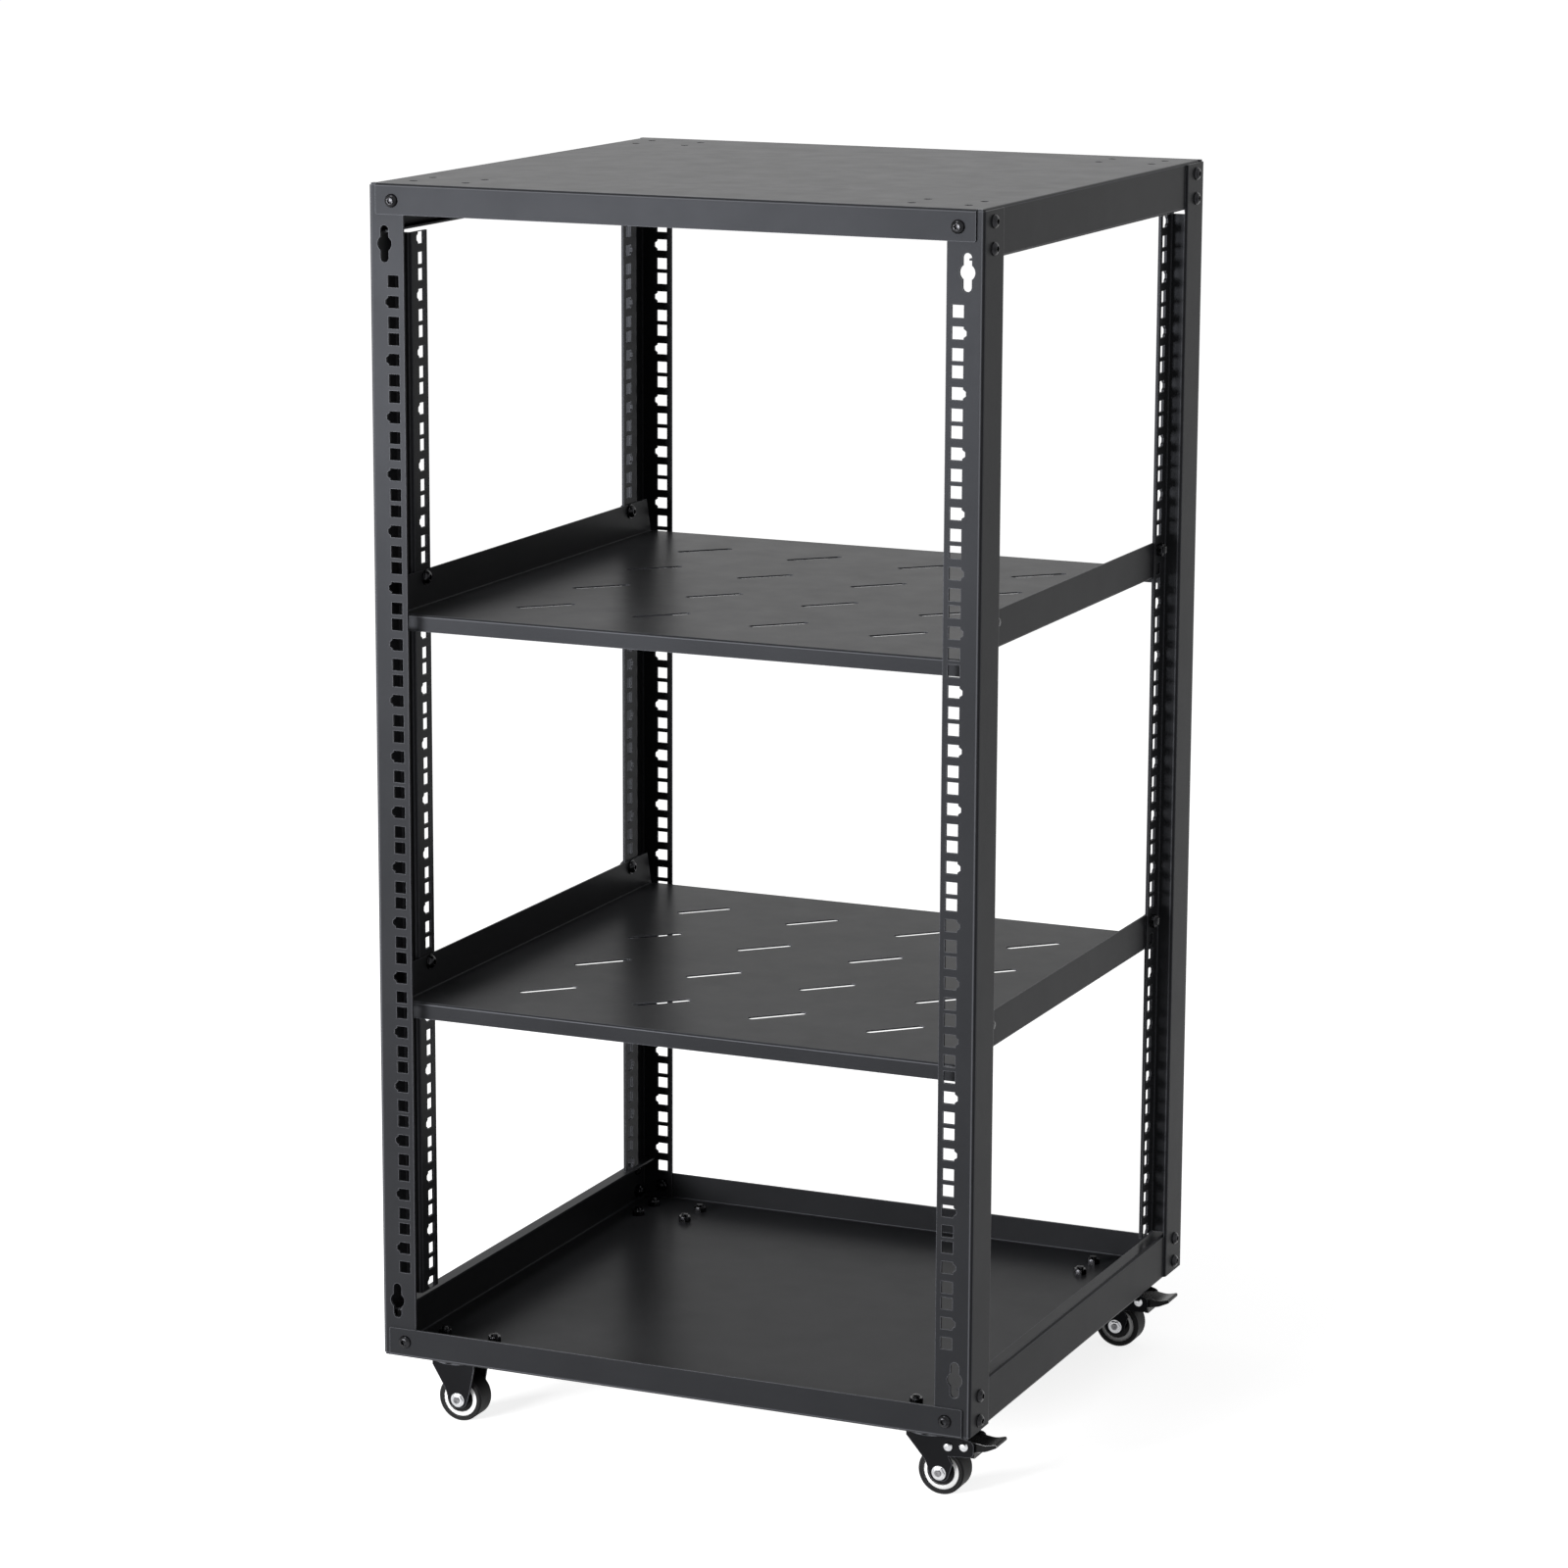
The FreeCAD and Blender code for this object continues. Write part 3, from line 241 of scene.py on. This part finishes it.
# The tyre's lighter edge colour is a painted highlight.
rubber = moulded(
    "tyre_rubber", (0.006, 0.006, 0.0065), (0.012, 0.012, 0.0125), (0.45, 0.6), 1200.0, 0.00004,
    gloss=0.1, highlight=(0.05, 0.05, 0.052))
# The pedal's pale edge colour is a painted highlight along its rim.
black_plastic = moulded(
    "pedal_black_plastic", (0.004, 0.004, 0.0045), (0.008, 0.008, 0.0085), (0.2, 0.32), 1500.0,
    0.00003, gloss=0.12, highlight=(0.6, 0.6, 0.61))

# The first start that fits a node's name gives its material. Axles, pins and braces are zinc.
NODE_MATERIALS = (
    (("post_", "upper_", "lower_", "top_", "bottom_"), paint),
    (("caster_plate", "fork"), caster_paint),
    (("rim",), rim_white),
    (("tyre",), rubber),
    (("pedal_front", "pedal_rear"), black_plastic),
    (("",), zinc),
)

for node in nodes:
    mesh = nodes[node].data
    mesh.materials.clear()
    fitting = (material for starts, material in NODE_MATERIALS if node.startswith(starts))
    mesh.materials.append(next(fitting))


# ---------------------------------------------------------------- turned pieces

ROUND = 0
HEXAGON = 6
FINE_TURN = 48
PLAIN_TURN = 36
SMALL_TURN = 24
SMOOTH_ANGLE = 35.0

# Rings of each profile: radius and height in millimetres, and the number of sides.
BUTTON_HEAD = (
    (5.25, 0.0, ROUND), (5.25, 0.35, ROUND), (5.1, 0.9, ROUND), (4.7, 1.6, ROUND),
    (4.1, 2.2, ROUND), (3.4, 2.7, ROUND), (2.7, 3.0, ROUND), (2.35, 3.1, ROUND),
    (2.0, 3.05, HEXAGON), (1.95, 1.1, HEXAGON), (0.4, 0.9, ROUND),
)
WASHER = ((6.2, 0.0, ROUND), (6.2, 0.9, ROUND), (6.0, 1.1, ROUND), (3.0, 1.1, ROUND))
HEX_NUT = (
    (5.0, 0.0, HEXAGON), (5.0, 4.2, HEXAGON), (4.75, 4.8, ROUND), (3.1, 4.8, ROUND),
    (2.9, 4.4, ROUND),
)
CLINCH_NUT = (
    (5.4, 0.0, ROUND), (5.4, 1.6, ROUND), (5.1, 2.0, ROUND), (3.1, 2.0, ROUND), (2.9, 1.6, ROUND),
)
AXLE_NUT = (
    (5.9, 0.0, ROUND), (5.9, 0.35, ROUND), (5.7, 0.5, ROUND), (4.9, 0.5, ROUND),
    (4.4, 0.55, HEXAGON), (4.4, 1.5, HEXAGON), (4.1, 1.8, ROUND), (2.9, 1.8, ROUND),
    (2.8, 1.5, ROUND),
)
AXLE_TIP = (
    (2.6, 1.0, ROUND), (2.6, 2.1, ROUND), (2.3, 2.4, ROUND), (1.1, 2.5, ROUND), (0.9, 2.2, ROUND),
)
RIVET_HEAD = (
    (4.0, 0.0, ROUND), (3.95, 0.5, ROUND), (3.6, 1.2, ROUND), (2.9, 1.9, ROUND),
    (1.9, 2.3, ROUND), (0.8, 2.45, ROUND),
)
WHEEL_CAP = (
    (11.4, 0.0, ROUND), (11.4, 0.5, ROUND), (10.8, 0.75, ROUND), (9.4, 0.55, ROUND),
    (7.8, 0.75, ROUND), (6.55, 0.9, ROUND), (6.55, 0.0, ROUND),
)
# Threaded end of a screw, in millimetres.
THREAD_LENGTH = 2.8
THREAD_RADIUS = 2.95
THREAD_DEPTH = 0.35
THREAD_PITCH = 1.0
THREAD_RUNOUT = 0.5
TIP_DEPTH = 0.8
TIP_HEIGHT = 0.3


def ring_points(radius, height, sides, count):
    """One ring of a turned piece: round, or a polygon with the given number of sides."""
    points = []
    for index in range(count):
        angle = 2 * math.pi * index / count
        reach = radius
        if sides:
            sector = 2 * math.pi / sides
            reach = radius / math.cos(angle % sector - sector / 2)
        points.append(Vector((reach * math.cos(angle), reach * math.sin(angle), height)))
    return points


def turned(work, rings, place, direction, count=PLAIN_TURN, slot=0):
    """Add a closed turned solid to a bmesh, from a place along a direction of length one."""
    turn = Vector(direction).to_track_quat("Z", "Y").to_matrix().to_4x4()
    matrix = Matrix.Translation(place) @ turn
    loops = []
    for radius, height, sides in rings:
        points = ring_points(radius, height, sides, count)
        loops.append([work.verts.new(matrix @ (point * MM)) for point in points])
    faces = []
    for lower, upper in zip(loops, loops[1:]):
        for index in range(count):
            after = (index + 1) % count
            quad = (lower[index], lower[after], upper[after], upper[index])
            faces.append(work.faces.new(quad))
    faces.append(work.faces.new(list(reversed(loops[0]))))
    faces.append(work.faces.new(loops[-1]))
    for face in faces:
        face.material_index = slot


def thread_end():
    """Rings of a screw's threaded end."""
    root = THREAD_RADIUS - THREAD_DEPTH
    rings = []
    height = 0.0
    while height < THREAD_LENGTH - THREAD_RUNOUT:
        rings.append((root, height, ROUND))
        rings.append((THREAD_RADIUS, height + THREAD_PITCH / 2, ROUND))
        height += THREAD_PITCH
    rings.append((root, THREAD_LENGTH - TIP_HEIGHT, ROUND))
    rings.append((THREAD_RADIUS - TIP_DEPTH, THREAD_LENGTH, ROUND))
    return rings


def finish_piece(work, name, materials, body):
    """Turn a bmesh into a piece that rides on a body."""
    bmesh.ops.recalc_face_normals(work, faces=work.faces)
    mesh = bpy.data.meshes.new(name)
    work.to_mesh(mesh)
    work.free()
    for material in materials:
        mesh.materials.append(material)
    piece = bpy.data.objects.new(name, mesh)
    bpy.context.scene.collection.objects.link(piece)
    mesh.shade_smooth()
    mesh.set_sharp_from_angle(angle=math.radians(SMOOTH_ANGLE))
    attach(piece, body)
    return piece


# ---------------------------------------------------------------- screws

WASHER_HEIGHT = 1.1 * MM
THREAD_START = 4.0 * MM
POST_SHEET = 2 * MM
TRAY_SHEET = 1.5 * MM
SHELF_SHEET = 1.2 * MM
LIP_SCREW_IN = 20.4 * MM
LIP_SCREW_DROP = 13 * MM
WEB_SCREW_DEPTH = 20.5 * MM
WEB_SCREW_DROPS = (10 * MM, 30 * MM)
LIP_HOLE_DEPTH = 58 * MM
SHELF_WALL_HEIGHT = 28.5 * MM
SHELF_SCREW_RISE = 22.3 * MM


def moved(place, direction, distance):
    """Place at a distance along a direction of length one."""
    return Vector(place) + Vector(direction) * distance


def screw_pieces(name, heads, nuts, clinches=(), washer=False):
    """Button head screws, with nuts and thread ends or flat clinch nuts on their other side.

    Every head, nut and clinch nut is a place and a direction.
    """
    work = bmesh.new()
    for place, direction in heads:
        if washer:
            turned(work, WASHER, place, direction)
            place = moved(place, direction, WASHER_HEIGHT)
        turned(work, BUTTON_HEAD, place, direction)
    for place, direction in nuts:
        turned(work, HEX_NUT, place, direction)
        turned(work, thread_end(), moved(place, direction, THREAD_START), direction, SMALL_TURN)
    for place, direction in clinches:
        turned(work, CLINCH_NUT, place, direction)
    finish_piece(work, name, [black_steel], "frame")


side_x = high["post_front_right"].x
front_y = abs(low["top_panel"].y)
bottom_z = low["bottom_tray"].z
top_z = high["top_panel"].z

lip_heads = []
lip_nuts = []
web_heads = []
web_nuts = []
web_clinches = []
for x_sign in (-1, 1):
    for y_sign in (-1, 1):
        for z_sign, edge in ((1, bottom_z), (-1, top_z)):
            x = x_sign * (side_x - LIP_SCREW_IN)
            z = edge + z_sign * LIP_SCREW_DROP
            inner_y = front_y - TRAY_SHEET - POST_SHEET
            lip_heads.append(((x, y_sign * front_y, z), (0, y_sign, 0)))
            lip_nuts.append(((x, y_sign * inner_y, z), (0, -y_sign, 0)))
            y = y_sign * (front_y - WEB_SCREW_DEPTH)
            inner_x = side_x - POST_SHEET - TRAY_SHEET
            for drop, backs in zip(WEB_SCREW_DROPS, (web_nuts, web_clinches)):
                z = edge + z_sign * drop
                web_heads.append(((x_sign * side_x, y, z), (x_sign, 0, 0)))
                backs.append(((x_sign * inner_x, y, z), (-x_sign, 0, 0)))
screw_pieces("tray_lip_screws", lip_heads, lip_nuts)
screw_pieces("post_web_screws", web_heads, web_nuts, web_clinches)

for shelf in ("upper_shelf", "lower_shelf"):
    heads = []
    nuts = []
    wall_x = high[shelf].x
    z = high[shelf].z - SHELF_WALL_HEIGHT + SHELF_SCREW_RISE
    for x_sign in (-1, 1):
        for y_sign in (-1, 1):
            y = y_sign * (front_y - LIP_HOLE_DEPTH)
            heads.append(((x_sign * (wall_x - SHELF_SHEET), y, z), (-x_sign, 0, 0)))
            nuts.append(((x_sign * (wall_x + POST_SHEET), y, z), (x_sign, 0, 0)))
    screw_pieces(shelf + "_screws", heads, nuts, washer=True)


# ---------------------------------------------------------------- casters

PLATE_SHEET = 2.5 * MM
PLATE_SCREW_X = 22.5 * MM
PLATE_SCREW_Y = 16 * MM
HEAD_DEPTH = 2.5 * MM
CAP_DEPTH = 1.5 * MM
# Radius of the pins, in millimetres.
AXLE_RADIUS = 3.0
RIVET_RADIUS = 2.5


def middle(node):
    """Centre of a node's box."""
    return (low[node] + high[node]) / 2


def pin_piece(name, node, radius, head, body, tip=None):
    """Pin across a fork in place of its node, with a head or nut and perhaps a tip at each end."""
    centre = middle(node)
    start = low[node].y
    end = high[node].y
    length = (end - start) - 2 * HEAD_DEPTH
    front = Vector((centre.x, start + HEAD_DEPTH, centre.z))
    back = Vector((centre.x, end - HEAD_DEPTH, centre.z))
    shaft = ((radius, 0.0, ROUND), (radius, length / MM, ROUND))
    work = bmesh.new()
    turned(work, shaft, front, (0, 1, 0), SMALL_TURN)
    for place, direction in ((front, (0, -1, 0)), (back, (0, 1, 0))):
        turned(work, head, place, direction)
        if tip:
            turned(work, tip, place, direction, slot=1)
    piece = finish_piece(work, name, [zinc, bolt_steel], body)
    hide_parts(node)


for corner in CORNERS:
    swivel = "swivel_" + corner
    pin_piece("axle_bolt_" + corner, "axle_" + corner, AXLE_RADIUS, AXLE_NUT, swivel, AXLE_TIP)
    if corner in BRAKED:
        pin_piece("pedal_rivet_" + corner, "pedal_pin_" + corner, RIVET_RADIUS, RIVET_HEAD, swivel)
        pin_piece("brace_rivet_" + corner, "brace_" + corner, RIVET_RADIUS, RIVET_HEAD, swivel)

    plate = middle("caster_plate_" + corner)
    plate_top = high["caster_plate_" + corner].z
    heads = []
    nuts = []
    for x_sign in (-1, 1):
        for y_sign in (-1, 1):
            x = plate.x + x_sign * PLATE_SCREW_X
            y = plate.y + y_sign * PLATE_SCREW_Y
            heads.append(((x, y, plate_top - PLATE_SHEET), (0, 0, -1)))
            nuts.append(((x, y, plate_top + TRAY_SHEET), (0, 0, 1)))
    screw_pieces("caster_screws_" + corner, heads, nuts)

    rim = "rim_" + corner
    hub = middle(rim)
    half_width = (high[rim].y - low[rim].y) / 2
    work = bmesh.new()
    for side in (-1, 1):
        face = Vector((hub.x, hub.y + side * (half_width - CAP_DEPTH), hub.z))
        turned(work, WHEEL_CAP, face, (0, side, 0), FINE_TURN)
    wheel = "wheel_" + corner
    finish_piece(work, "wheel_cap_" + corner, [black_plastic], wheel)


# ---------------------------------------------------------------- stage and lamps

WHITE = (1, 1, 1, 1)
FLOOR_HALF = 30.0
FLOOR_COLOUR = (0.82, 0.82, 0.82, 1)
FLOOR_ROUGHNESS = 0.9
FLOOR_GLOW = 0.82
WORLD_LIGHT = 0.26
# Name, place, target, width, height and power in watts.
LAMPS = (
    ("key", (-1.1, -2.3, 0.66), (0, -0.2, 0.85), 1.2, 0.58, 94),
    ("overhead", (-0.7, -1.3, 3.1), (0, 0, 0.6), 0.8, 0.8, 24),
)

floor_mesh = bpy.data.meshes.new("floor")
floor_signs = ((-1, -1), (1, -1), (1, 1), (-1, 1))
floor_corners = [(x * FLOOR_HALF, y * FLOOR_HALF, 0.0) for x, y in floor_signs]
floor_mesh.from_pydata(floor_corners, [], [(0, 1, 2, 3)])
floor = bpy.data.objects.new("floor", floor_mesh)
bpy.context.scene.collection.objects.link(floor)
pale = Surface("pale_floor")
pale.set("Base Color", FLOOR_COLOUR)
pale.set("Roughness", FLOOR_ROUGHNESS)
pale.set("Specular IOR Level", 0.0)
pale.set("Emission Color", WHITE)
pale.drive("Emission Strength", pale.span(pale.seen(), 0.0, FLOOR_GLOW, 0.0, 1.0))
floor_mesh.materials.append(pale.material)

world = bpy.data.worlds.new("studio")
bpy.context.scene.world = world
sky = Tree(world)
background = sky.nodes["Background"]
background.inputs["Color"].default_value = WHITE
sky_strength = sky.span(sky.seen(), WORLD_LIGHT, 1.0, 0.0, 1.0)
sky.links.new(sky_strength, background.inputs["Strength"])

for name, place, target, width, height, power in LAMPS:
    light = bpy.data.lights.new(name, "AREA")
    light.shape = "RECTANGLE"
    light.size = width
    light.size_y = height
    light.energy = power
    lamp = bpy.data.objects.new(name, light)
    bpy.context.scene.collection.objects.link(lamp)
    lamp.location = place
    aim = Vector(target) - Vector(place)
    lamp.rotation_euler = aim.to_track_quat("-Z", "Y").to_euler()


# ---------------------------------------------------------------- camera

CAMERA_PLACE = (1.5714, -3.6125, 1.3338)
CAMERA_AZIMUTH = math.radians(23.6521)
CAMERA_ELEVATION = math.radians(-11.902)
CAMERA_ROLL = math.radians(0.2378)
CAMERA_LENS = 114.344
SENSOR_WIDTH = 36
CLIP_END = 100

forward = Vector((
    -math.sin(CAMERA_AZIMUTH) * math.cos(CAMERA_ELEVATION),
    math.cos(CAMERA_AZIMUTH) * math.cos(CAMERA_ELEVATION),
    math.sin(CAMERA_ELEVATION),
))
level = Vector((math.cos(CAMERA_AZIMUTH), math.sin(CAMERA_AZIMUTH), 0))
upright = level.cross(forward)
right = math.cos(CAMERA_ROLL) * level + math.sin(CAMERA_ROLL) * upright
up = -math.sin(CAMERA_ROLL) * level + math.cos(CAMERA_ROLL) * upright
camera_data = bpy.data.cameras.new("camera")
camera_data.lens = CAMERA_LENS
camera_data.sensor_width = SENSOR_WIDTH
camera_data.clip_end = CLIP_END
camera = bpy.data.objects.new("camera", camera_data)
bpy.context.scene.collection.objects.link(camera)
turn = Matrix((right, up, -forward)).transposed().to_4x4()
camera.matrix_world = Matrix.Translation(CAMERA_PLACE) @ turn
bpy.context.scene.camera = camera
bpy.context.scene.view_settings.view_transform = "Standard"
